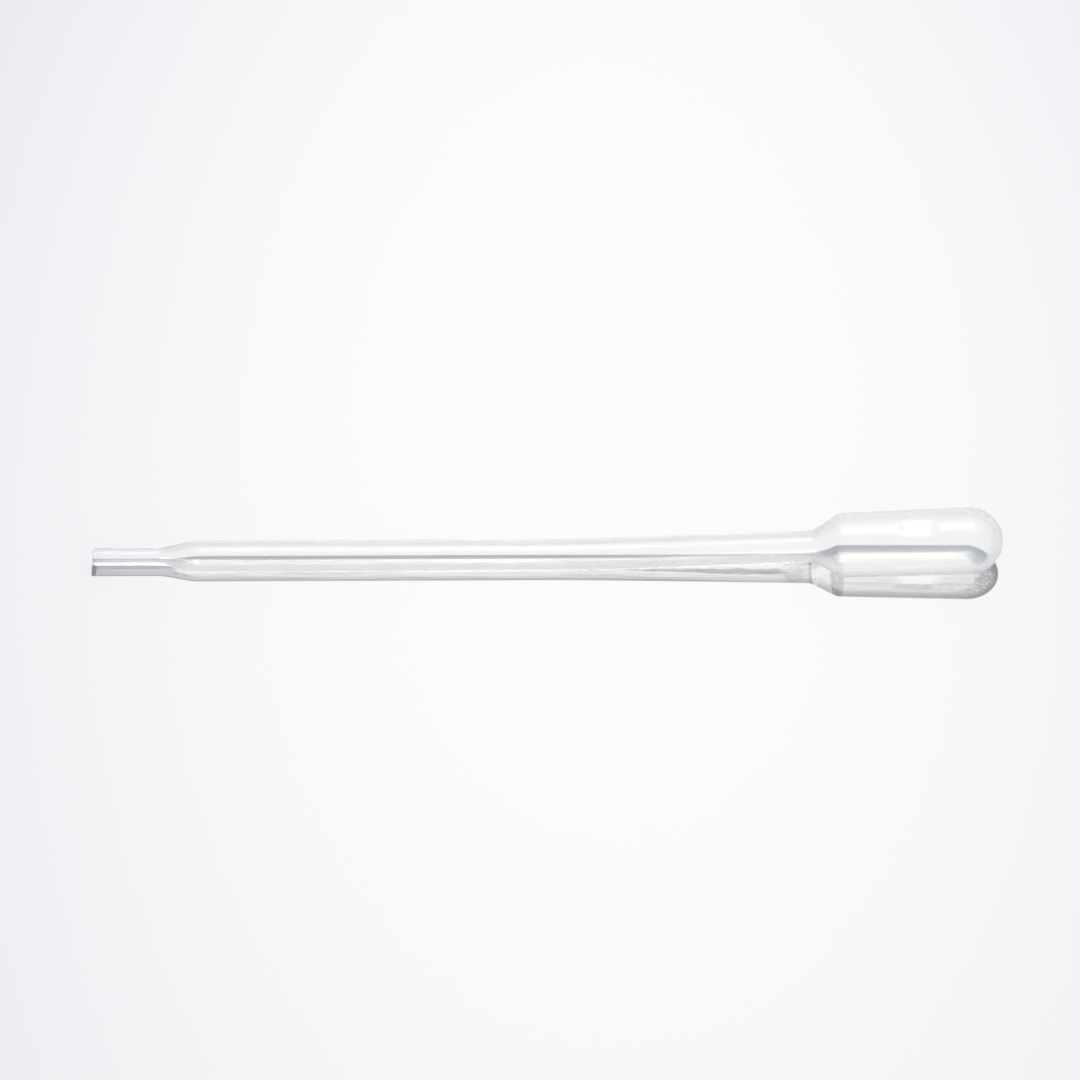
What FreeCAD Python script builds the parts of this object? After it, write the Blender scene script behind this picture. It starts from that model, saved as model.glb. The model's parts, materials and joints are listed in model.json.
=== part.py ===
"""A dropper pipette, blow-moulded in one piece from low-density polyethylene.

It is one hollow body: a fine drawn tip, a long stem and a squeeze bulb with a domed end. The stem has a
slight bow, as such a tube has once it has cooled, so the pipette comes to rest along the straight half of
its stem and on the shoulder of its bulb. It lies here as it rests: +X runs from the tip to the bulb along
the straight half of the stem, +Z is up, and the bench is the plane Z = 0, under the middle of the
pipette's box. Sizes are in millimetres.
"""

import FreeCAD, Part
import math
import os

from FreeCAD import Vector

# The tip, cut off square, and the shoulder that widens it to the stem.
TIP_LENGTH = 11.7
TIP_DIAMETER = 2.92
TIP_BORE = 1.3
TIP_EDGE_ROUNDING = 0.12
SHOULDER_LENGTH = 5.0
SHOULDER_ROUNDING = 8.0

# The stem, measured along its bow.
STEM_LENGTH = 102.1
STEM_DIAMETER = 5.25
STEM_WALL = 0.8

# The neck, a short cone from the stem to the bulb.
NECK_LENGTH = 4.5
NECK_ROUNDING = 2.2

# The bulb widens a little from its shoulder to its dome.
BULB_LENGTH = 21.1
BULB_SHOULDER_DIAMETER = 10.65
BULB_DOME_DIAMETER = 11.05
BULB_WALL = 0.7
BULB_SHOULDER_ROUNDING = 1.5

# A plain flat sunk in the top of the bulb, with sloping ends, where such pipettes carry their mark.
PAD_LENGTH = 6.2
PAD_END_SLOPE = 0.6
PAD_DEPTH = 0.3
PAD_FROM_SHOULDER = 9.6

# The bow: its middle from the tip's end, its length along the stem, and how far its plane leans sideways.
BOW_FROM_TIP = 79.6
BOW_LENGTH = 20.0
BOW_LEAN_DEGREES = 8.0

ORIGIN = Vector(0, 0, 0)
ALONG = Vector(1, 0, 0)
ACROSS = Vector(0, 1, 0)
UP = Vector(0, 0, 1)


class Skin:
    """The sizes of one face of the wall, outside or inside, as radii about the pipette's axis."""

    def __init__(self, tip_diameter, stem_wall, bulb_wall):
        flare = math.atan((BULB_DOME_DIAMETER - BULB_SHOULDER_DIAMETER) / 2 / BULB_LENGTH)
        pad_place = PAD_FROM_SHOULDER * math.tan(flare)
        self.tip = tip_diameter / 2
        self.stem = STEM_DIAMETER / 2 - stem_wall
        self.bulb_shoulder = BULB_SHOULDER_DIAMETER / 2 - bulb_wall
        self.bulb_dome = BULB_DOME_DIAMETER / 2 - bulb_wall
        self.dome = self.bulb_dome / math.cos(flare)
        self.pad = self.bulb_shoulder + pad_place - PAD_DEPTH


class Corner:
    """The arc that eases one corner of a section line, where the line turns from before to after."""

    def __init__(self, before, here, after, rounding):
        towards = (here - before).normalize()
        away = (after - here).normalize()
        turn = towards.getAngle(away)
        inwards = (away - towards).normalize()
        self.start = here - towards * rounding * math.tan(turn / 2)
        self.end = here + away * rounding * math.tan(turn / 2)
        self.centre = here + inwards * rounding / math.cos(turn / 2)
        self.middle = self.centre - inwards * rounding


outside = Skin(TIP_DIAMETER, 0, 0)
inside = Skin(TIP_BORE, STEM_WALL, BULB_WALL)

shoulder_end = TIP_LENGTH + SHOULDER_LENGTH
bow_start = BOW_FROM_TIP - BOW_LENGTH / 2
bow_end = BOW_FROM_TIP + BOW_LENGTH / 2
neck_start = shoulder_end + STEM_LENGTH
bulb_start = neck_start + NECK_LENGTH
bulb_end = bulb_start + BULB_LENGTH
pad_start = bulb_start + PAD_FROM_SHOULDER


def at(along, radius):
    """A point of a section line, in the XZ plane, before the stem is bowed."""
    return Vector(along, 0, radius)


def bulb_corner(skin):
    """The eased corner between the neck and the bulb."""
    points = at(neck_start, skin.stem), at(bulb_start, skin.bulb_shoulder), at(bulb_end, skin.bulb_dome)
    return Corner(*points, BULB_SHOULDER_ROUNDING)


def turned(points, corners, dome_radius=None):
    """A solid of revolution about X. Its section runs from the first point, round the corners, to the last.

    With dome_radius, a quarter circle then brings the section back to the axis.
    """
    edges = []
    here = points[0]
    for corner in corners:
        edges.append(Part.LineSegment(here, corner.start).toShape())
        edges.append(Part.Arc(corner.start, corner.middle, corner.end).toShape())
        here = corner.end
    last = points[-1]
    edges.append(Part.LineSegment(here, last).toShape())
    if dome_radius is None:
        foot = at(last.x, 0)
        edges.append(Part.LineSegment(last, foot).toShape())
    else:
        centre = at(last.x + math.sqrt(dome_radius**2 - last.z**2), 0)
        foot = centre + ALONG * dome_radius
        halfway = centre + ((last - centre).normalize() + ALONG).normalize() * dome_radius
        edges.append(Part.Arc(last, halfway, foot).toShape())
    start = at(points[0].x, 0)
    edges.append(Part.LineSegment(foot, start).toShape())
    edges.append(Part.LineSegment(start, points[0]).toShape())
    return Part.Face(Part.Wire(edges)).revolve(ORIGIN, ALONG, 360)


def front(skin):
    """The tip, its shoulder and the straight half of the stem."""
    points = at(0, skin.tip), at(TIP_LENGTH, skin.tip), at(shoulder_end, skin.stem), at(bow_start, skin.stem)
    corners = [Corner(*points[i : i + 3], SHOULDER_ROUNDING) for i in (0, 1)]
    return turned(points, corners)


def back(skin):
    """The rest of the stem, the neck and the bulb, in line with the front until the stem is bowed."""
    points = at(bow_end, skin.stem), at(neck_start, skin.stem), at(bulb_end, skin.bulb_dome)
    neck_corner = Corner(points[0], points[1], at(bulb_start, skin.bulb_shoulder), NECK_ROUNDING)
    solid = turned(points, [neck_corner, bulb_corner(skin)], skin.dome)
    return solid.cut(pad_cutter(skin))


def pad_cutter(skin):
    """What the pad takes off the top of the bulb: a bar with sloping ends that widens upwards."""
    top = skin.pad + BULB_DOME_DIAMETER
    widening = PAD_END_SLOPE / PAD_DEPTH * (top - skin.pad)
    pad_end = pad_start + PAD_LENGTH
    low_start = pad_start + PAD_END_SLOPE
    low_end = pad_end - PAD_END_SLOPE
    corners = [
        at(low_start, skin.pad),
        at(low_end, skin.pad),
        at(low_end + widening, top),
        at(low_start - widening, top),
    ]
    section = Part.Face(Part.makePolygon(corners + corners[:1]))
    section.translate(ACROSS * -BULB_DOME_DIAMETER)
    return section.extrude(ACROSS * 2 * BULB_DOME_DIAMETER)


def bow_angle():
    """The bow, in radians, that lays the bulb's shoulder on the bench while the stem lies along it.

    The shoulder touches the bench on the arc that eases its corner. The arc's centre runs round the axis
    in a circle, whose lowest point is one rounding above the bench.
    """
    arc_centre = bulb_corner(outside).centre
    lean = math.cos(math.radians(BOW_LEAN_DEGREES))
    angle = slope = 0.05
    for _ in range(20):
        bend_reach = BOW_LENGTH / angle * math.tan(angle / 2)
        rise = arc_centre.z * math.cos(slope) + BULB_SHOULDER_ROUNDING - outside.stem
        slope = math.asin(rise / (bend_reach + arc_centre.x - bow_end))
        angle = math.asin(math.sin(slope) / lean)
    return angle


def bowed(skin):
    """The whole form of one skin, solid, with its stem bowed upwards in the XZ plane."""
    angle = bow_angle()
    bend_centre = at(bow_start, BOW_LENGTH / angle)
    disc = Part.Face(Part.Wire(Part.makeCircle(skin.stem, at(bow_start, 0), ALONG)))
    bend = disc.revolve(bend_centre, -ACROSS, math.degrees(angle))
    rear = back(skin)
    rear.translate(at(bow_start - bow_end, 0))
    rear.rotate(bend_centre, -ACROSS, math.degrees(angle))
    return front(skin).fuse([bend, rear]).removeSplitter()


def pipette():
    """The moulded body, hollow and open at its tip, lying on the bench."""
    solid = bowed(outside).cut(bowed(inside))
    rims = [edge for edge in solid.Edges if edge.BoundBox.XMax < TIP_EDGE_ROUNDING]
    solid = solid.makeFillet(TIP_EDGE_ROUNDING, rims).Solids[0]
    solid.rotate(ORIGIN, ALONG, BOW_LEAN_DEGREES)
    box = solid.optimalBoundingBox(False, False)
    solid.translate(Vector(-box.Center.x, -box.Center.y, outside.stem))
    return solid


os.makedirs("parts", exist_ok=True)
body = pipette()
body.exportStep("parts/pipette.step")
print(f"pipette: {body.ShapeType}, {len(body.Solids)} solid, valid {body.isValid()}")
print(f"volume {body.Volume:.1f} mm3, bow {math.degrees(bow_angle()):.2f} degrees")
box = body.optimalBoundingBox(False, False)
print(f"box {box.XMin:.3f} {box.YMin:.3f} {box.ZMin:.4f} to {box.XMax:.3f} {box.YMax:.3f} {box.ZMax:.3f}")
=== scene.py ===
"""The looks of a moulded dropper pipette: its clear body, and the bench, lamp and camera around it."""

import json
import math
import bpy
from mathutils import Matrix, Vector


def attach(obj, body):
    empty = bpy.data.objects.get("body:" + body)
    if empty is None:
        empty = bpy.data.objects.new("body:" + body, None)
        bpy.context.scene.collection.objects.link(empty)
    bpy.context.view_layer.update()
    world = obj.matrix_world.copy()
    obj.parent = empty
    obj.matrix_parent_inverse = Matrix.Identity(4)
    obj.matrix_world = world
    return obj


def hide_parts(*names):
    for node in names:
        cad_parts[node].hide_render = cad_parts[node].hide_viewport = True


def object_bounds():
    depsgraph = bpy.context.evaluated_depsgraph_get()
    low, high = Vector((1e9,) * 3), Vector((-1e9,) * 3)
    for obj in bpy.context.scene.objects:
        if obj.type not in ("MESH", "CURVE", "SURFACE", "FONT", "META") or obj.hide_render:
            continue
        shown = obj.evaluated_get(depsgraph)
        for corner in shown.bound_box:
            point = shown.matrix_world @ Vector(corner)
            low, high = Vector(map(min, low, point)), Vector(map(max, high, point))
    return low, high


bl_info = {
    "name": "Dropper Pipette",
    "version": (1, 0, 0),
    "blender": (4, 5, 0),
    "location": "3D View > Sidebar > Pipette",
    "description": "Models a one-piece moulded dropper pipette and the bench it lies on",
    "category": "Add Mesh",
}

import bmesh
import bpy
from mathutils import Vector

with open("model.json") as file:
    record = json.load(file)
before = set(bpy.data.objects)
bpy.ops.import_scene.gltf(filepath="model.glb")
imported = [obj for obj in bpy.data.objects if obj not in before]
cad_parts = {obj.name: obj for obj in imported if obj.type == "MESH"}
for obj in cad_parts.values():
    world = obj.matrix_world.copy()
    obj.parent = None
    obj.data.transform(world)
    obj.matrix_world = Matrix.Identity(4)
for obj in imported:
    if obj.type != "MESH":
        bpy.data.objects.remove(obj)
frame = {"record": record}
CAD_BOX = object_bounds()
MOUNTS = {mount["name"]: mount for mount in frame["record"]["mounts"]}
STEM_AXIS = Vector(MOUNTS["stem_outside"]["pos_m"])
MM = 0.001

# How finely the body is modelled.
CORNER_SEGMENTS = 8
DOME_STEPS = 32
BOW_STEPS = 25
LONGEST_EDGE = 0.8 * MM
LONGEST_BULB_EDGE = 0.4 * MM
SAME_PLACE = 1e-6
MERGE_DISTANCE = 1e-7
MERGE_DIGITS = 7

# The part of the bulb, round its flat, whose edges are softened.
SOFTENED_MARGIN = 0.5 * MM
SOFTENED_ANGLE = math.radians(32)

# The bow's angle is worked out in rounds, from a first guess.
FIRST_BOW = 0.05
BOW_ROUNDS = 20

# The stage, in metres, and the camera's sensor, in millimetres.
BENCH_SIZE = 4
LAMP_DISTANCE = 4
NEAREST_SEEN = 0.01
SENSOR_WIDTH = 36


def mount_radius(name):
    """The radius of one of the pipette's mounts, in millimetres."""
    return MOUNTS[name]["dims"]["r_mm"]


def length(name, description, default_mm):
    """A length property, given in millimetres and held in metres."""
    return bpy.props.FloatProperty(
        name=name, description=description, default=default_mm * MM, min=0, precision=5, subtype="DISTANCE"
    )


def angle(name, description, degrees):
    """An angle property, given in degrees and held in radians."""
    return bpy.props.FloatProperty(
        name=name, description=description, default=math.radians(degrees), subtype="ANGLE"
    )


def amount(name, description, default, **limits):
    """A property that is a plain number, no less than 0 unless its limits say so."""
    limits = {"min": 0} | limits
    return bpy.props.FloatProperty(name=name, description=description, default=default, **limits)


def share(name, description, default):
    """A property from 0 to 1."""
    return amount(name, description, default, max=1)


def shares(name, description, default, most=1):
    """Three shares in one property: for the three colours, or for the tip, the stem and the bulb."""
    return bpy.props.FloatVectorProperty(name=name, description=description, default=default, min=0, max=most)


def paint(name, description, default):
    """A colour property."""
    return bpy.props.FloatVectorProperty(
        name=name, description=description, default=default, subtype="COLOR", min=0, max=1
    )


class PipetteSizes(bpy.types.PropertyGroup):
    """Sizes of the moulded body."""

    tip_length: length("Tip length", "From the cut end to the shoulder", 11.7)
    tip_radius: length("Tip radius", "Outside radius of the tip", mount_radius("tip_outside"))
    bore_radius: length("Tip bore radius", "Radius of the hole in the tip", mount_radius("tip_bore"))
    tip_rounding: length("Tip edge rounding", "Easing of the tip's cut edges", 0.12)
    shoulder_length: length("Shoulder length", "Cone between the tip and the stem", 5.0)
    shoulder_rounding: length("Shoulder rounding", "Easing of the shoulder's two corners", 8.0)
    stem_length: length("Stem length", "From the shoulder to the neck, along the bow", 102.1)
    stem_radius: length("Stem radius", "Outside radius of the stem", mount_radius("stem_outside"))
    stem_wall: length("Stem wall", "Thickness of the stem's wall", 0.8)
    neck_length: length("Neck length", "Cone between the stem and the bulb", 4.5)
    neck_rounding: length("Neck rounding", "Easing between the stem and the neck", 2.2)
    bulb_length: length("Bulb length", "From the bulb's shoulder to its dome", 21.1)
    bulb_radius: length("Bulb shoulder radius", "Outside radius of the bulb beside the neck", 5.325)
    dome_radius: length("Bulb dome radius", "Outside radius of the bulb where its dome starts", 5.525)
    bulb_wall: length("Bulb wall", "Thickness of the bulb's wall", 0.7)
    bulb_rounding: length("Bulb shoulder rounding", "Easing between the neck and the bulb", 1.5)
    pad_length: length("Pad length", "Length of the flat on the bulb", 6.2)
    pad_slope: length("Pad end slope", "Length of each sloping end of the flat", 0.6)
    pad_depth: length("Pad depth", "How deep the flat is sunk", 0.3)
    pad_place: length("Pad place", "From the bulb's shoulder to the flat", 9.6)
    bow_place: length("Bow place", "From the tip's end to the middle of the bow", 79.6)
    bow_length: length("Bow length", "Length of the bowed stretch of the stem", 20.0)
    bow_lean: angle("Bow lean", "How far the plane of the bow leans to the side", 8)
    pad_softness: bpy.props.IntProperty(
        name="Pad softness", description="How often the edges of the flat are smoothed", default=6
    )
    sides: bpy.props.IntProperty(name="Sides", description="Faces round the body", default=144, min=16)


class PlasticLook(bpy.types.PropertyGroup):
    """Finish of the polyethylene, and the light that its shadow keeps."""

    colour: paint("Colour", "Tint of the plastic", (1.0, 0.999, 0.997))
    ior: amount("IOR", "Index of refraction", 1.51, min=1, max=3)
    clearness: share("Clearness", "How much of the light goes through rather than scatters", 0.95)
    edge_clearness: share("Edge clearness", "The same for a face turned side on, where the wall is deep", 0.7)
    haze_start: share("Haze start", "How far a face has turned side on when the haze starts", 0.3)
    roughness: share("Roughness", "Softness of the gloss", 0.05)
    cloudiness: amount("Cloudiness", "How many times softer the gloss is in its clouds", 1.2)
    edge_roughness: share("Edge roughness", "The same for a face turned side on", 0.32)
    frost_start: share("Frost start", "How far a face has turned side on when its frost starts", 0.25)
    frost_full: share("Frost full", "How far a face has turned side on when its frost is full", 0.35)
    tip_frost: share("Tip frost", "How much sooner the tip's gloss softens than the bulb's", 0.3)
    stem_frost: share("Stem frost", "How much sooner the stem's gloss softens than the bulb's", 0.5)
    coat: share("Sheen", "Strength of the broad soft highlight", 0.19)
    coat_roughness: share("Sheen roughness", "Breadth of the soft highlight", 0.35)
    line_depth: length("Line depth", "Depth of the lines that moulding leaves along the body", 0.0003)
    lamp_lean: angle("Lamp lean", "Angle of the lamp from the height of the body", 19.5)
    light_through: shares("Light through", "Part of each colour that a face passes", (1.0, 0.997, 0.991))
    near_tint: shares("Near tint", "Part of each colour lost on the near side", (0.96, 1.0, 1.02), most=2)
    far_tint: shares("Far tint", "Part of each colour lost on the far side", (1.12, 1.0, 0.84), most=2)
    near_edges: shares("Near edges", "Where the near edge of tip, stem and bulb starts", (0.1, 0.66, 0.77))
    far_edges: shares("Far edges", "Where the far edge of tip, stem and bulb starts", (0.04, 0.6, 0.69))
    edge_loss: share("Edge loss", "Light that the near edge takes where it starts", 0.17)
    outline_loss: share("Outline loss", "The same at the outline", 0.43)
    tip_near_edge: amount("Tip near edge", "Strength of the near edge in the tip, beside the stem's", 1.35)
    far_edge_loss: share("Far edge loss", "Light that the far edge takes where it starts", 0.36)
    far_outline_loss: share("Far outline loss", "The same at the outline", 0.78)
    stem_far_edge: amount("Stem far edge", "Strength of the far edge in the stem, beside the bulb's", 1.4)
    far_edge_fading: share("Far edge fading", "How much of it is lost between the bow and the neck", 0.7)
    tip_widening: length("Tip widening", "How much wider the far side of the tip looks through the tip", 0.7)
    dome_spread: share("Dome spread", "How much nearer to the dome's middle its dark edge starts", 0.35)
    dome_rim_loss: share("Dome rim loss", "Further light that the outline of the dome takes", 0.2)
    stem_loss: share("Stem loss", "Light that the near half of the stem takes from the shadow", 0.03)
    bulb_loss: share("Bulb loss", "Light that the near half of the bulb takes from the shadow", 0.1)
    streak_loss: share("Streak loss", "Light that the moulding lines take from the shadow", 0.3)
    broad_streak_loss: share("Broad streak loss", "Light that the broader ones take from the shadow", 0.05)
    tip_streaks: share("Tip streaks", "Strength of the streaks in the tip, beside those of the stem", 0.7)
    bulb_streaks: share("Bulb streaks", "Strength of the streaks in the bulb, beside those of the stem", 0.55)
    flow_line_place: length("Flow line place", "From the middle of the stem, to the side", 0.48)
    flow_line_width: length("Flow line width", "Half the width of the flow line", 0.55)
    flow_line_wander: length("Flow line wander", "How far the edge of the flow line wanders", 1.6)
    flow_line_loss: share("Flow line loss", "Light that the flow line takes from the shadow", 0.58)
    blotch_loss: share("Blotch loss", "Light that the blotches before the neck take from the shadow", 0.35)
    neck_ring_loss: share("Neck ring loss", "Light that the corner of the neck takes from the shadow", 0.4)
    neck_clearing: share("Neck clearing", "Part of the losses that the cone of the neck makes good", 0.4)
    ring_clearing: share("Ring clearing", "The same in the bright ring beside the dark one", 0.9)
    ring_edge: share("Ring edge", "Part of the dark edges that is left in the bright ring", 0.4)
    bulb_ring_loss: share("Bulb ring loss", "Light that the corner of the bulb takes from the shadow", 0.34)
    bulb_ring_blue: share("Bulb ring blue", "How far that ring is tinted as the far side is", 0.5)
    corner_loss: share("Corner loss", "Further light that this corner takes at the edges of the shadow", 0.15)
    patch_spread: length("Patch spread", "How far the flat's patch of light reaches past the flat", 0.7)
    patch_narrowing: length("Patch narrowing", "How much the flat's patch of light narrows at each end", 1.0)
    slope_loss: share("Slope loss", "Light that the front edge of the flat takes from the shadow", 0.27)
    bulb_grain: share("Bulb grain", "How much the grain of the bulb varies its shadow", 0.15)
    dome_grain: share("Dome grain", "How much the grain of the dome varies its shadow", 0.45)
    gathered: share("Gathered", "Part of the near losses that shows through the body", 0.1)
    soft_loss: share("Soft light loss", "Part of these losses that soft light meets", 0.1)
    shadow_loss: share("Shadow loss", "Light that each face takes from the shadow", 0.01)


class StageLook(bpy.types.PropertyGroup):
    """Bench, lamp and camera."""

    floor_colour: paint("Floor colour", "Colour of the bench", (0.962, 0.964, 0.972))
    # Painted shade: the bench's colour goes from floor_colour at the pool's centre to this darker colour far
    # off, in place of the lamp's falloff.
    painted_falloff_colour: paint("Far colour", "Colour of the bench far off", (0.79, 0.802, 0.83))
    floor_roughness: share("Floor roughness", "Softness of the gloss of the bench", 0.9)
    pool_centre: bpy.props.FloatVectorProperty(
        name="Pool centre",
        description="Where the bench is brightest",
        default=(9 * MM, 12 * MM),
        size=2,
        unit="LENGTH",
    )
    pool_width: length("Pool width", "How far to the side the bench darkens", 83)
    pool_depth: length("Pool depth", "How far to the front and back the bench darkens", 167)
    pool_fade: amount("Pool fade", "Square of the distance, in these, where the bench is darkest", 2.5)
    room_colour: paint("Room colour", "Colour of the light all round", (0.985, 0.99, 1.0))
    fill: amount("Fill", "Strength of the light all round", 0.34)
    room: amount("Room", "Brightness of the room in the gloss", 0.92)
    key: amount("Key", "Brightness that the key lamp gives a white bench", 0.69)
    key_size: length("Key size", "Diameter of the key lamp", 107)
    key_side: angle("Key side", "Angle of the key lamp to the right", 4)
    key_elevation: angle("Key elevation", "Angle of the key lamp above the bench, behind the pipette", 78.5)
    elevation: angle("Camera elevation", "Angle of the camera above the bench", 50.9)
    azimuth: angle("Camera azimuth", "Angle of the camera round the pipette", -0.28)
    lens: amount("Lens", "Focal length in millimetres", 150)
    width: length("Picture width", "Width of what the camera sees, at the pipette", 178.3)
    aim: bpy.props.FloatProperty(
        name="Aim",
        description="What the camera aims at, along the pipette",
        default=-1.13 * MM,
        subtype="DISTANCE",
    )
    aim_rise: length("Aim rise", "How far above the stem's axis the camera aims", 2.47)


class Skin:
    """Radii of one face of the wall, outside or inside."""

    def __init__(self, sizes, tip, stem_wall, bulb_wall):
        self.tip = tip
        self.stem = sizes.stem_radius - stem_wall
        self.bulb = sizes.bulb_radius - bulb_wall
        self.bulb_end = sizes.dome_radius - bulb_wall
        flare = math.atan((sizes.dome_radius - sizes.bulb_radius) / sizes.bulb_length)
        self.dome_offset = self.bulb_end * math.tan(flare)
        self.dome_turn = math.pi / 2 + flare
        self.pad = self.bulb + sizes.pad_place * math.tan(flare) - sizes.pad_depth


class Stations:
    """Places along the straightened body, in metres from the tip's end."""

    def __init__(self, sizes):
        self.shoulder = sizes.tip_length
        self.stem = self.shoulder + sizes.shoulder_length
        self.neck = self.stem + sizes.stem_length
        self.bulb = self.neck + sizes.neck_length
        self.dome = self.bulb + sizes.bulb_length
        self.bow = sizes.bow_place - sizes.bow_length / 2
        self.bow_end = self.bow + sizes.bow_length
        self.pad = self.bulb + sizes.pad_place
        self.pad_end = self.pad + sizes.pad_length


def deselect_all():
    """Deselects every object, so that an operator acts on the new one alone."""
    for thing in bpy.context.selected_objects:
        thing.select_set(False)


def pick(obj, wanted, mode="VERT"):
    """Selects, in edit mode, only the vertices or edges for which wanted is true."""
    bpy.ops.mesh.select_mode(type=mode)
    bpy.ops.mesh.select_all(action="DESELECT")
    mesh = bmesh.from_edit_mesh(obj.data)
    parts = mesh.verts if mode == "VERT" else mesh.edges
    for part in parts:
        if wanted(part):
            part.select_set(True)
    mesh.select_flush_mode()
    bmesh.update_edit_mesh(obj.data)


def turn(turned, axis, centre):
    """Turns what is selected about an axis, by the right-hand rule. Windowless, rotate turns backwards."""
    bpy.ops.transform.rotate(value=-turned, orient_axis=axis, center_override=centre)


def near(place):
    """A test for the vertex at a place."""
    return lambda vertex: (vertex.co - place).length < SAME_PLACE


def halfway(place):
    """A test for the edge whose middle is at a place."""
    return lambda edge: ((edge.verts[0].co + edge.verts[1].co) / 2 - place).length < SAME_PLACE


def at(along, radius):
    """A point of the section, before it is turned about the X axis."""
    return Vector((along, 0, radius))


def draw_section(points):
    """Draws the wall's section as a line through the points, from a primitive shrunk to one vertex."""
    bpy.ops.mesh.primitive_plane_add(size=MM)
    obj = bpy.context.object
    bpy.ops.object.mode_set(mode="EDIT")
    bpy.ops.mesh.merge(type="CENTER")
    bpy.ops.transform.translate(value=points[0])
    for before, after in zip(points, points[1:]):
        bpy.ops.mesh.extrude_region_move(TRANSFORM_OT_translate={"value": after - before})
    return obj


def ease_corner(obj, points, index, rounding):
    """Rounds one corner of the section to that radius."""
    before, here, after = points[index - 1 : index + 2]
    reach = rounding * math.tan((here - before).angle(after - here) / 2)
    pick(obj, near(here))
    bpy.ops.mesh.bevel(
        affect="VERTICES", offset=reach, segments=CORNER_SEGMENTS, profile=0.5, clamp_overlap=False
    )


def close_dome(obj, place, skin):
    """Brings one face of the wall round to the axis in an arc, from the vertex where the bulb ends."""
    pick(obj, near(place))
    centre = (place.x + skin.dome_offset, 0, 0)
    bpy.ops.mesh.spin(steps=DOME_STEPS, angle=-skin.dome_turn, center=centre, axis=(0, 1, 0))


def divide_long_edges(obj, longest, wanted):
    """Divides each wanted edge of the section that is longer than longest into equal lengths."""
    mesh = bmesh.from_edit_mesh(obj.data)
    places = [
        (edge.verts[0].co.copy(), edge.verts[1].co.copy())
        for edge in mesh.edges
        if edge.calc_length() > longest and wanted(edge)
    ]
    for start, end in places:
        pick(obj, halfway((start + end) / 2), "EDGE")
        bpy.ops.mesh.subdivide(number_cuts=math.ceil((end - start).length / longest) - 1)


def turn_body(sizes, places, outside, inside):
    """The straight body: its section drawn, eased and turned about the X axis."""
    points = [
        at(places.dome, outside.bulb_end),
        at(places.bulb, outside.bulb),
        at(places.neck, outside.stem),
        at(places.stem, outside.stem),
        at(places.shoulder, outside.tip),
        at(0, outside.tip),
        at(0, inside.tip),
        at(places.shoulder, inside.tip),
        at(places.stem, inside.stem),
        at(places.neck, inside.stem),
        at(places.bulb, inside.bulb),
        at(places.dome, inside.bulb_end),
    ]
    corner_rounding = [
        sizes.bulb_rounding,
        sizes.neck_rounding,
        sizes.shoulder_rounding,
        sizes.shoulder_rounding,
        sizes.tip_rounding,
    ]
    obj = draw_section(points)
    for index, rounding in enumerate(corner_rounding + corner_rounding[::-1], start=1):
        ease_corner(obj, points, index, rounding)
    close_dome(obj, points[0], outside)
    close_dome(obj, points[-1], inside)
    divide_long_edges(obj, LONGEST_BULB_EDGE, lambda edge: min(v.co.x for v in edge.verts) > places.neck)
    divide_long_edges(obj, LONGEST_EDGE, lambda edge: True)
    bpy.ops.mesh.select_all(action="SELECT")
    bpy.ops.mesh.spin(steps=sizes.sides, angle=math.tau, center=(0, 0, 0), axis=(1, 0, 0))
    bpy.ops.mesh.select_all(action="SELECT")
    bpy.ops.mesh.remove_doubles(threshold=MERGE_DISTANCE)
    bpy.ops.mesh.normals_make_consistent(inside=False)
    return obj


def sink_pad(obj, sizes, places, skin, radii):
    """Flattens the top of the bulb, on one face of its wall, with a slope at each end of the flat."""
    start, end = places.pad, places.pad_end
    for along in (start, start + sizes.pad_slope, end - sizes.pad_slope, end):
        bpy.ops.mesh.select_all(action="SELECT")
        bpy.ops.mesh.bisect(plane_co=(along, 0, 0), plane_no=(1, 0, 0))
    mesh = bmesh.from_edit_mesh(obj.data)
    in_pad = [v for v in mesh.verts if start - MERGE_DISTANCE <= v.co.x <= end + MERGE_DISTANCE]
    for ring in sorted({round(v.co.x, MERGE_DIGITS) for v in in_pad}):
        from_end = min(ring - start, end - ring)
        depth = sizes.pad_depth * min(1, max(0, from_end) / sizes.pad_slope)
        height = skin.pad + sizes.pad_depth - depth

        def above(vertex):
            radius = math.hypot(vertex.co.y, vertex.co.z)
            in_ring = abs(vertex.co.x - ring) < MERGE_DISTANCE
            return in_ring and vertex.co.z > height and radii[0] < radius < radii[1]

        pick(obj, above)
        bpy.ops.transform.resize(value=(1, 1, 0), center_override=(ring, 0, height))

    def round_the_pad(vertex):
        radius = math.hypot(vertex.co.y, vertex.co.z)
        on_top = abs(math.atan2(vertex.co.y, vertex.co.z)) < SOFTENED_ANGLE
        beside = start - SOFTENED_MARGIN < vertex.co.x < end + SOFTENED_MARGIN
        return beside and on_top and radii[0] < radius < radii[1]

    pick(obj, round_the_pad)
    bpy.ops.mesh.vertices_smooth(factor=0.5, repeat=sizes.pad_softness)


def keep_moulded_place(obj, places):
    """Stores each vertex's place in the straight body, for patterns to follow, and which face it is on."""
    bpy.ops.object.mode_set(mode="OBJECT")
    obj.data.attributes.new("moulded", "FLOAT_VECTOR", "POINT")
    obj.data.attributes.new("outside", "FLOAT", "POINT")
    moulded = obj.data.attributes["moulded"].data
    outside = obj.data.attributes["outside"].data
    for vertex in obj.data.vertices:
        from_middle = vertex.co - Vector((min(vertex.co.x, places.dome), 0, 0))
        moulded[vertex.index].vector = vertex.co
        outside[vertex.index].value = float(vertex.normal.dot(from_middle) > 0)
    bpy.ops.object.mode_set(mode="EDIT")


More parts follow.
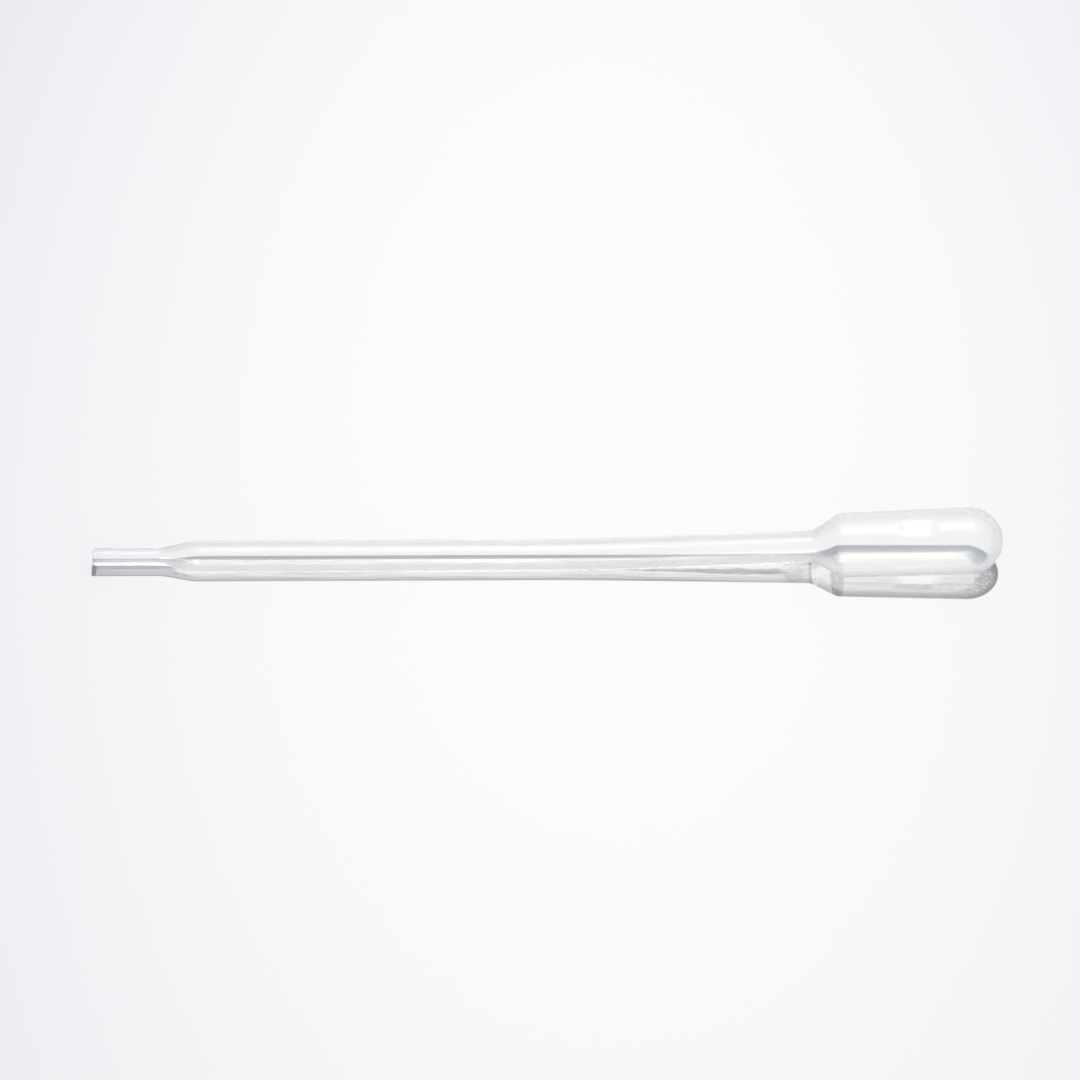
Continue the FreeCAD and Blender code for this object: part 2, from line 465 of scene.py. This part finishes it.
def bow_angle(sizes, places, outside):
    """The bow that lays the bulb's shoulder on the bench while the stem lies along it."""
    neck = at(places.neck, outside.stem)
    shoulder = at(places.bulb, outside.bulb)
    dome = at(places.dome, outside.bulb_end)
    towards = (shoulder - neck).normalized()
    away = (dome - shoulder).normalized()
    inwards = (away - towards).normalized()
    arc_centre = shoulder + inwards * sizes.bulb_rounding / math.cos(towards.angle(away) / 2)
    lean = math.cos(sizes.bow_lean)
    bow = slope = FIRST_BOW
    for _ in range(BOW_ROUNDS):
        bend_reach = sizes.bow_length / bow * math.tan(bow / 2)
        rise = arc_centre.z * math.cos(slope) + sizes.bulb_rounding - outside.stem
        slope = math.asin(rise / (bend_reach + arc_centre.x - places.bow_end))
        bow = math.asin(math.sin(slope) / lean)
    return bow


def bow_stem(obj, sizes, places, bow):
    """Bows the stem upwards in small equal turns, the farthest first."""
    for step in reversed(range(BOW_STEPS)):
        along = places.bow + sizes.bow_length * (step + 0.5) / BOW_STEPS
        pick(obj, lambda vertex: vertex.co.x > along)
        turn(-bow / BOW_STEPS, "Y", (along, 0, 0))


def lay_down(sizes):
    """Leans the bow to the side and moves the body from its drawing place to where it lies."""
    bpy.ops.mesh.select_all(action="SELECT")
    turn(sizes.bow_lean, "X", (0, 0, 0))
    bpy.ops.mesh.select_all(action="SELECT")
    bpy.ops.transform.translate(value=(CAD_BOX[0].x, STEM_AXIS.y, STEM_AXIS.z))
    bpy.ops.object.mode_set(mode="OBJECT")
    bpy.ops.object.shade_smooth()


class Value:
    """A number or vector that shader nodes work out. The signs + - * between numbers add Math nodes."""

    def __init__(self, tree, socket):
        self.tree = tree
        self.socket = socket

    def __add__(self, other):
        return calculate("ADD", self, other)

    def __sub__(self, other):
        return calculate("SUBTRACT", self, other)

    def __rsub__(self, other):
        return calculate("SUBTRACT", other, self)

    def __mul__(self, other):
        return calculate("MULTIPLY", self, other)

    __radd__ = __add__
    __rmul__ = __mul__


def feed(socket, value):
    """Gives a socket its value, by a link from a Value."""
    if isinstance(value, Value):
        value.tree.links.new(value.socket, socket)
    else:
        socket.default_value = value


def new_node(tree, kind, **inputs):
    """Adds a shader node and feeds its inputs, which are named, or numbered with _ before the number."""
    node = tree.nodes.new(kind)
    for name, value in inputs.items():
        socket = node.inputs[int(name[1:])] if name[0] == "_" else node.inputs[name.replace("_", " ")]
        feed(socket, value)
    return node


def work_out(kind, operation, values, output):
    """Feeds the values to one new node that does the operation."""
    tree = next(value.tree for value in values if isinstance(value, Value))
    node = tree.nodes.new(kind)
    node.operation = operation
    for socket, value in zip(node.inputs, values):
        feed(socket, value)
    return Value(tree, node.outputs[output])


def calculate(operation, *numbers):
    """One operation on numbers."""
    return work_out("ShaderNodeMath", operation, numbers, "Value")


def calculate_vector(operation, *vectors):
    """One operation on vectors or colours that gives another."""
    return work_out("ShaderNodeVectorMath", operation, vectors, "Vector")


def attribute(tree, name, output):
    """The body's own value of that name."""
    node = tree.nodes.new("ShaderNodeAttribute")
    node.attribute_name = name
    return Value(tree, node.outputs[output])


def rescale(value, low, high, to_low=0.0, to_high=1.0):
    """Carries a number from one range to another, and stops it at the ends."""
    node = new_node(value.tree, "ShaderNodeMapRange", _0=value, _1=low, _2=high, _3=to_low, _4=to_high)
    return Value(value.tree, node.outputs[0])


def past(value, place, softness):
    """1 where the number is past a place, and 0 before it."""
    return rescale(value, place - softness, place + softness)


def between(value, start, end, softness):
    """1 where the number lies between start and end, falling to 0 just outside them."""
    return past(value, start, softness) * (1.0 - past(value, end, softness))


def blend(part, first, second):
    """Goes from the first number to the second as part goes from 0 to 1."""
    node = new_node(part.tree, "ShaderNodeMix", _0=part, _2=first, _3=second)
    return Value(part.tree, node.outputs[0])


def blend_colours(part, first, second):
    """Goes from the first colour to the second as part goes from 0 to 1."""
    node = new_node(part.tree, "ShaderNodeMix", _0=part, _6=(*first, 1), _7=(*second, 1))
    node.data_type = "RGBA"
    return Value(part.tree, node.outputs[2])


def noise(place, long, wide, detail=2.0, roughness=0.5):
    """Noise whose patches are that long along the body and that wide across it."""
    stretched = new_node(place.tree, "ShaderNodeMapping", Vector=place, Scale=(1 / long, 1 / wide, 1 / wide))
    stretched = Value(place.tree, stretched.outputs[0])
    node = new_node(
        place.tree, "ShaderNodeTexNoise", Vector=stretched, Scale=1.0, Detail=detail, Roughness=roughness
    )
    return Value(place.tree, node.outputs[0])


# Where the patterns of the shadow lie along the body, from the place that each is named for.
CUT_END = (0.5 * MM, 0.6 * MM)
FLOW_LINE_START = (-3 * MM, 14 * MM)
FLOW_LINE_END = (-5 * MM, -3 * MM)
BLOTCHES = (-4 * MM, 0)
FADING_START = 7 * MM
NECK_RING = (0.05 * MM, 0.55 * MM)
BRIGHT_RING = (0.65 * MM, 1.1 * MM)
CONE_START = 0.65 * MM
CONE_END = -0.7 * MM
BULB_RING = (-0.5 * MM, 0.5 * MM)
DOME_START = (-1 * MM, 2 * MM)
DOME_GRAIN = (0, 3 * MM)
PATCH_SHIFT = 0.4 * MM
FRONT_SLOPE_ENDS = (-0.4 * MM, 0.6 * MM)

# And across it: over the axis, behind the front of the flat's patch, and at the edge of the flow line.
TOP = (0.8 * MM, 1.2 * MM)
PATCH_NARROWING = (0, 1.6 * MM)
FRONT_SLOPE = (-1 * MM, 0)
FLOW_LINE_EDGE = (-0.05 * MM, 0.15 * MM)

# How far beside the axis light passes where a pattern starts and is full: 0 over it, 1 at the outline.
NEAR_EDGE = (0.8, 1.0)
FAR_EDGE = (0.65, 1.0)
DOME_RIM = (0.8, 0.95)
NEAR_HALF = (0.38, 0.48)

# The noise at which a pattern starts and is full.
CLOUDS = (0.3, 0.7)
FINE_STREAKS = (0.49, 0.62)
BROAD_STREAKS = (0.5, 0.6)
RAGGED_BLOTCHES = (0.42, 0.58)
MOTTLE = (0.4, 0.6)

# Strength of a pattern where it starts and where it is full, beside its plain strength.
NEAR_HALF_STRENGTH = (0.35, 1.15)
MOTTLE_STRENGTH = (-0.6, 1.0)


def ends_from(place, reach):
    """The start and end of a stretch, from a place and from how far each lies past it."""
    return place + reach[0], place + reach[1]


class WallLight:
    """Where light meets the wall, as the numbers that its patterns are made from."""

    def __init__(self, tree, look, sizes, places):
        self.look = look
        self.sizes = sizes
        self.places = places
        self.place = attribute(tree, "moulded", "Vector")
        parts = new_node(tree, "ShaderNodeSeparateXYZ", Vector=self.place).outputs
        self.along, self.across, self.height = (Value(tree, part) for part in parts)
        self.facing = Value(tree, new_node(tree, "ShaderNodeLayerWeight", Blend=0.5).outputs["Facing"])

        # How far beside the axis the light passes, and how far behind it, in metres.
        towards = 1.0 - self.facing
        self.beside = calculate("SQRT", 1.0 - towards * towards)
        self.behind = self.across * math.cos(look.lamp_lean) - self.height * math.sin(look.lamp_lean)
        self.on_top = rescale(self.height, *TOP)
        self.in_dome = rescale(self.along, *ends_from(places.dome, DOME_START))

        rays = tree.nodes.new("ShaderNodeLightPath").outputs
        self.from_lamp = Value(tree, rays["Is Shadow Ray"])
        seen_through = Value(tree, rays["Transmission Depth"])
        self.seen_directly = rescale(seen_through, 0.0, 1.0, 1.0, look.gathered)
        widening = rescale(seen_through, 0.0, 1.0, 0.0, look.tip_widening) * self.by_part(1.0, 0.0, 0.0)
        self.far_side = past(self.behind + widening, 0.0, softness=0.1 * MM)

    def by_part(self, tip, stem, bulb):
        """A number that changes along the body, from the tip's to the stem's to the bulb's."""
        places = self.places
        in_stem = rescale(self.along, places.shoulder, places.stem, tip, stem)
        in_bulb = rescale(self.along, places.neck, places.bulb)
        return in_bulb * (bulb - stem) + in_stem


def edge_pattern(light):
    """Light that the wall bends away where it passes beside the hollow, and where it does so."""
    look, places, beside = light.look, light.places, light.beside
    start = blend(light.far_side, light.by_part(*look.near_edges), light.by_part(*look.far_edges))
    start = start - light.in_dome * look.dome_spread
    in_edge = past(beside - start, 0.0, softness=0.03)
    near_loss = rescale(beside, *NEAR_EDGE, look.edge_loss, look.outline_loss)
    near_loss = near_loss * light.seen_directly * light.by_part(look.tip_near_edge, 1.0, 1.0)
    after_bow = between(light.along, places.bow_end + FADING_START, places.neck, softness=3 * MM)
    far_strength = light.by_part(1.0, look.stem_far_edge, 1.0) - after_bow * look.far_edge_fading
    far_loss = rescale(beside, *FAR_EDGE, look.far_edge_loss, look.far_outline_loss) * far_strength
    dome_rim = rescale(beside, *DOME_RIM, 0.0, look.dome_rim_loss) * light.in_dome
    return in_edge * (blend(light.far_side, near_loss, far_loss) + dome_rim), in_edge


def pad_pattern(light):
    """Where light doesn't pass straight through the bulb's flat, and what the flat's front edge takes."""
    look, sizes, places = light.look, light.sizes, light.places
    half_depth = math.sqrt(2 * sizes.dome_radius * sizes.pad_depth)
    middle = -(sizes.bulb_radius - sizes.pad_depth) * math.sin(look.lamp_lean)
    front = middle - half_depth / 2
    centre = (places.pad + places.pad_end) / 2 + PATCH_SHIFT
    half_length = sizes.pad_length / 2 + look.patch_spread

    # The flat narrows towards its sides, so its patch of light does.
    off_centre = calculate("ABSOLUTE", light.along - centre)
    narrowing = rescale(light.behind, *ends_from(front, PATCH_NARROWING), look.patch_narrowing, 0.0)
    off_centre = off_centre + narrowing
    flat = 1.0 - past(off_centre, half_length, softness=0.1 * MM)
    flat = flat * between(light.behind, front, middle + half_depth, softness=0.1 * MM)
    slope = rescale(off_centre, *ends_from(half_length, FRONT_SLOPE_ENDS), 1.0, 0.0)
    slope = slope * between(light.behind, *ends_from(front, FRONT_SLOPE), softness=0.2 * MM)
    return 1.0 - flat, slope * light.on_top * look.slope_loss


def near_half_pattern(light):
    """Light that the near half of the body takes, least over its axis."""
    look, places = light.look, light.places
    loss = rescale(light.along, places.neck, places.bulb, look.stem_loss, look.bulb_loss)
    loss = loss * (1.0 - light.far_side) * rescale(light.beside, *NEAR_HALF, *NEAR_HALF_STRENGTH)
    return loss * light.seen_directly


def streak_pattern(light):
    """Light that the moulding lines take, as fine and as broad streaks."""
    look = light.look
    fine = noise(light.place, long=25 * MM, wide=0.7 * MM, detail=4.0, roughness=0.9)
    broad = noise(light.place, long=60 * MM, wide=0.9 * MM, detail=2.0, roughness=0.6)
    loss = rescale(fine, *FINE_STREAKS, 0.0, look.streak_loss)
    loss = loss + rescale(broad, *BROAD_STREAKS, 0.0, look.broad_streak_loss)
    return loss * light.by_part(look.tip_streaks, 1.0, look.bulb_streaks)


def flow_pattern(light):
    """Light that the ragged flow line after the bow takes, and the blotches that the stem ends in."""
    look, places, along = light.look, light.places, light.along
    ragged = noise(light.place, long=1.5 * MM, wide=0.4 * MM, detail=4.0, roughness=0.8)
    half_width = rescale(along, *ends_from(places.bow_end, FLOW_LINE_START), 0.0, look.flow_line_width)
    off_line = calculate("ABSOLUTE", light.across - look.flow_line_place)
    inside_line = half_width - off_line + (ragged - 0.5) * look.flow_line_wander
    line = rescale(inside_line, *FLOW_LINE_EDGE, 0.0, look.flow_line_loss)
    line = line * rescale(along, *ends_from(places.neck, FLOW_LINE_END), 1.0, 0.0)
    blotches = rescale(ragged, *RAGGED_BLOTCHES, 0.0, look.blotch_loss)
    blotches = blotches * between(along, *ends_from(places.neck, BLOTCHES), softness=0.3 * MM)
    return (line + blotches) * light.on_top


def grain_pattern(light):
    """Light that the grain of the bulb takes and gives, most of all on its dome."""
    look, places, along = light.look, light.places, light.along
    on_bulb = rescale(along, places.bulb, places.dome, 0.0, look.bulb_grain)
    further = rescale(along, *ends_from(places.dome, DOME_GRAIN), 0.0, look.dome_grain - look.bulb_grain)
    mottle = noise(light.place, long=0.35 * MM, wide=0.35 * MM, detail=2.0, roughness=0.8)
    return (on_bulb + further) * rescale(mottle, *MOTTLE, *MOTTLE_STRENGTH) * light.seen_directly


def shadow_colour(light):
    """The colour that each face of the wall gives to light going through, for the shadow of a clear tube."""
    look, places, along = light.look, light.places, light.along
    edge, in_edge = edge_pattern(light)
    off_pad, slope = pad_pattern(light)

    # The wall turns the corners of the neck and the bulb in dark rings, with a bright one beside the neck's.
    neck_ring = between(along, *ends_from(places.neck, NECK_RING), softness=0.1 * MM)
    bright_ring = between(along, *ends_from(places.neck, BRIGHT_RING), softness=0.1 * MM)
    bulb_ring = between(along, *ends_from(places.bulb, BULB_RING), softness=0.15 * MM)

    # The cone between them gathers light.
    in_cone = between(along, places.neck + CONE_START, places.bulb + CONE_END, softness=0.1 * MM)
    clearing = in_cone * look.neck_clearing + bright_ring * (look.ring_clearing - look.neck_clearing)

    loss = look.shadow_loss + slope + flow_pattern(light)
    loss = loss + (near_half_pattern(light) + streak_pattern(light) + grain_pattern(light)) * off_pad
    loss = loss + neck_ring * light.on_top * look.neck_ring_loss
    loss = loss * (1.0 - clearing) + edge * rescale(bright_ring, 0.0, 1.0, 1.0, look.ring_edge)
    loss = loss + bulb_ring * look.bulb_ring_loss + bulb_ring * in_edge * look.corner_loss

    # Soft light meets little of all this. The cut end lets no light through.
    loss = loss * rescale(light.from_lamp, 0.0, 1.0, look.soft_loss, 1.0)
    loss = calculate("MAXIMUM", loss, rescale(along, *CUT_END, 1.0, 0.0))
    loss = loss * attribute(along.tree, "outside", "Fac")

    bluish = calculate("MAXIMUM", light.far_side * in_edge, bulb_ring * look.bulb_ring_blue)
    lost = calculate_vector("MULTIPLY", blend_colours(bluish, look.near_tint, look.far_tint), loss)
    return calculate_vector("MAXIMUM", calculate_vector("SUBTRACT", look.light_through, lost), (0, 0, 0))


def plastic(look, sizes, places):
    """Clear, slightly milky polyethylene, with the lines that moulding leaves along it."""
    material = bpy.data.materials.new("clear_polyethylene")
    material.use_nodes = True
    tree = material.node_tree
    light = WallLight(tree, look, sizes, places)

    lines = noise(light.place, long=30 * MM, wide=0.35 * MM)
    clouds = noise(light.place, long=3 * MM, wide=1.5 * MM)
    bump = new_node(tree, "ShaderNodeBump", Strength=1.0, Distance=look.line_depth, Height=lines)
    # A thick wall hides the hollow sooner, so frost starts sooner in the stem, and sooner still in the tip.
    side_on = calculate("DIVIDE", light.facing, light.by_part(look.tip_frost, look.stem_frost, 1.0))
    frost = rescale(side_on, look.frost_start, look.frost_full, 0.0, look.edge_roughness - look.roughness)
    roughness = rescale(clouds, *CLOUDS, look.roughness, look.cloudiness * look.roughness) + frost
    shader = tree.nodes["Principled BSDF"]
    shader.inputs["Base Color"].default_value = (*look.colour, 1)
    shader.inputs["IOR"].default_value = look.ior
    shader.inputs["Coat Weight"].default_value = look.coat
    shader.inputs["Coat Roughness"].default_value = look.coat_roughness
    clearness = rescale(light.facing, look.haze_start, 1.0, look.clearness, look.edge_clearness)
    feed(shader.inputs["Transmission Weight"], clearness)
    feed(shader.inputs["Roughness"], roughness)
    feed(shader.inputs["Normal"], Value(tree, bump.outputs[0]))

    through = new_node(tree, "ShaderNodeBsdfTransparent", Color=shadow_colour(light))
    # Light of the lamp and light from the bench both pass straight through.
    rays = tree.nodes.new("ShaderNodeLightPath")
    surface = shader.outputs[0]
    for kind in ("Is Diffuse Ray", "Is Shadow Ray"):
        mix = tree.nodes.new("ShaderNodeMixShader")
        for socket, source in zip(mix.inputs, (rays.outputs[kind], surface, through.outputs[0])):
            tree.links.new(source, socket)
        surface = mix.outputs[0]
    tree.links.new(surface, tree.nodes["Material Output"].inputs["Surface"])
    return material


def bench_material(look):
    """A white bench, with a pool of light painted into its colour: brightest at the pool's centre, painted
    darker all round.
    """
    material = bpy.data.materials.new("bench_white")
    material.use_nodes = True
    tree = material.node_tree
    place = Value(tree, tree.nodes.new("ShaderNodeTexCoord").outputs["Object"])
    off = calculate_vector("SUBTRACT", place, (*look.pool_centre, 0))
    off = calculate_vector("MULTIPLY", off, (1 / look.pool_width, 1 / look.pool_depth, 0))
    squared = work_out("ShaderNodeVectorMath", "DOT_PRODUCT", (off, off), "Value")
    # Painted shade: the colour darkens away from the pool's centre, standing in for the falloff of light over
    # the bench.
    colour = blend_colours(rescale(squared, 0.0, look.pool_fade), look.floor_colour, look.painted_falloff_colour)
    shader = tree.nodes["Principled BSDF"]
    feed(shader.inputs["Base Color"], colour)
    shader.inputs["Roughness"].default_value = look.floor_roughness
    shader.inputs["Specular IOR Level"].default_value = 0.0
    return material


def add_bench(look):
    """The bench, a wide plane that the pipette lies on."""
    deselect_all()
    bpy.ops.mesh.primitive_plane_add(size=BENCH_SIZE)
    bench = bpy.context.object
    bench.name = bench.data.name = "bench"
    bench.data.materials.append(bench_material(look))


def light_room(scene, look):
    """A pale room, brighter where it is seen or mirrored than where it lights the bench."""
    world = bpy.data.worlds.new("room")
    scene.world = world
    world.use_nodes = True
    tree = world.node_tree
    rays = tree.nodes.new("ShaderNodeLightPath").outputs
    seen = calculate("MAXIMUM", Value(tree, rays["Is Camera Ray"]), Value(tree, rays["Is Glossy Ray"]))
    seen = calculate("MAXIMUM", seen, Value(tree, rays["Is Transmission Ray"]))
    lighting = calculate("GREATER_THAN", Value(tree, rays["Diffuse Depth"]), 0.0)
    background = tree.nodes["Background"]
    background.inputs["Color"].default_value = (*look.room_colour, 1)
    feed(background.inputs["Strength"], rescale(seen - lighting, 0.0, 1.0, look.fill, look.room))


def add_key(scene, look):
    """The key lamp, high up behind the pipette."""
    lamp = bpy.data.lights.new("key", "AREA")
    lamp.shape = "DISK"
    lamp.size = look.key_size
    # The power at which a white bench looks as bright as look.key, from that far.
    lamp.energy = look.key * math.pi * math.pi * LAMP_DISTANCE**2
    key = bpy.data.objects.new("key", lamp)
    scene.collection.objects.link(key)
    direction = Vector((math.sin(look.key_side), math.cos(look.key_elevation), math.sin(look.key_elevation)))
    direction.normalize()
    key.location = direction * LAMP_DISTANCE
    key.rotation_euler = (-direction).to_track_quat("-Z", "Y").to_euler()


def add_camera(scene, look):
    """The camera, which looks down on the pipette from the front."""
    camera = bpy.data.cameras.new("camera")
    camera.lens = look.lens
    camera.sensor_width = SENSOR_WIDTH
    camera.clip_start = NEAREST_SEEN
    view = bpy.data.objects.new("camera", camera)
    scene.collection.objects.link(view)
    scene.camera = view
    sin, cos = math.sin(look.elevation), math.cos(look.elevation)
    target = Vector((look.aim, STEM_AXIS.y, STEM_AXIS.z)) + Vector((0, sin, cos)) * look.aim_rise
    back = Vector((math.sin(look.azimuth) * cos, -math.cos(look.azimuth) * cos, sin))
    view.location = target + back * look.width * look.lens / SENSOR_WIDTH
    view.rotation_euler = (-back).to_track_quat("-Z", "Y").to_euler()


class PIPETTE_OT_body(bpy.types.Operator):
    """Model the moulded body of the pipette"""

    bl_idname = "pipette.body"
    bl_label = "Pipette Body"

    def execute(self, context):
        sizes = context.scene.pipette_sizes
        places = Stations(sizes)
        outside = Skin(sizes, sizes.tip_radius, 0, 0)
        inside = Skin(sizes, sizes.bore_radius, sizes.stem_wall, sizes.bulb_wall)
        deselect_all()
        body = turn_body(sizes, places, outside, inside)
        middle_of_wall = outside.bulb - sizes.bulb_wall / 2
        sink_pad(body, sizes, places, outside, (middle_of_wall, math.inf))
        sink_pad(body, sizes, places, inside, (0, middle_of_wall))
        keep_moulded_place(body, places)
        bow_stem(body, sizes, places, bow_angle(sizes, places, outside))
        lay_down(sizes)
        body.name = body.data.name = "pipette_body"
        body.data.materials.append(plastic(context.scene.plastic_look, sizes, places))
        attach(body, "root")
        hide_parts("pipette")
        return {"FINISHED"}


class PIPETTE_OT_stage(bpy.types.Operator):
    """Set out the bench, lamp and camera"""

    bl_idname = "pipette.stage"
    bl_label = "Pipette Stage"

    def execute(self, context):
        look = context.scene.stage_look
        add_bench(look)
        light_room(context.scene, look)
        add_key(context.scene, look)
        add_camera(context.scene, look)
        context.scene.view_settings.view_transform = "Standard"
        return {"FINISHED"}


class PIPETTE_PT_panel(bpy.types.Panel):
    """Pieces of the pipette and its stage"""

    bl_label = "Pipette"
    bl_idname = "PIPETTE_PT_panel"
    bl_space_type = "VIEW_3D"
    bl_region_type = "UI"
    bl_category = "Pipette"

    def draw(self, context):
        for operator in (PIPETTE_OT_body, PIPETTE_OT_stage):
            self.layout.operator(operator.bl_idname)


CLASSES = (PipetteSizes, PlasticLook, StageLook, PIPETTE_OT_body, PIPETTE_OT_stage, PIPETTE_PT_panel)
SETTINGS = {"pipette_sizes": PipetteSizes, "plastic_look": PlasticLook, "stage_look": StageLook}


def register():
    """Registers the classes and gives the scene its settings."""
    for cls in CLASSES:
        bpy.utils.register_class(cls)
    for name, group in SETTINGS.items():
        setattr(bpy.types.Scene, name, bpy.props.PointerProperty(type=group))


def unregister():
    """Takes away what register adds."""
    for name in SETTINGS:
        delattr(bpy.types.Scene, name)
    for cls in reversed(CLASSES):
        bpy.utils.unregister_class(cls)


def main():
    """Models the pipette and its stage."""
    register()
    bpy.ops.pipette.body()
    bpy.ops.pipette.stage()


if __name__ == "__main__":
    main()
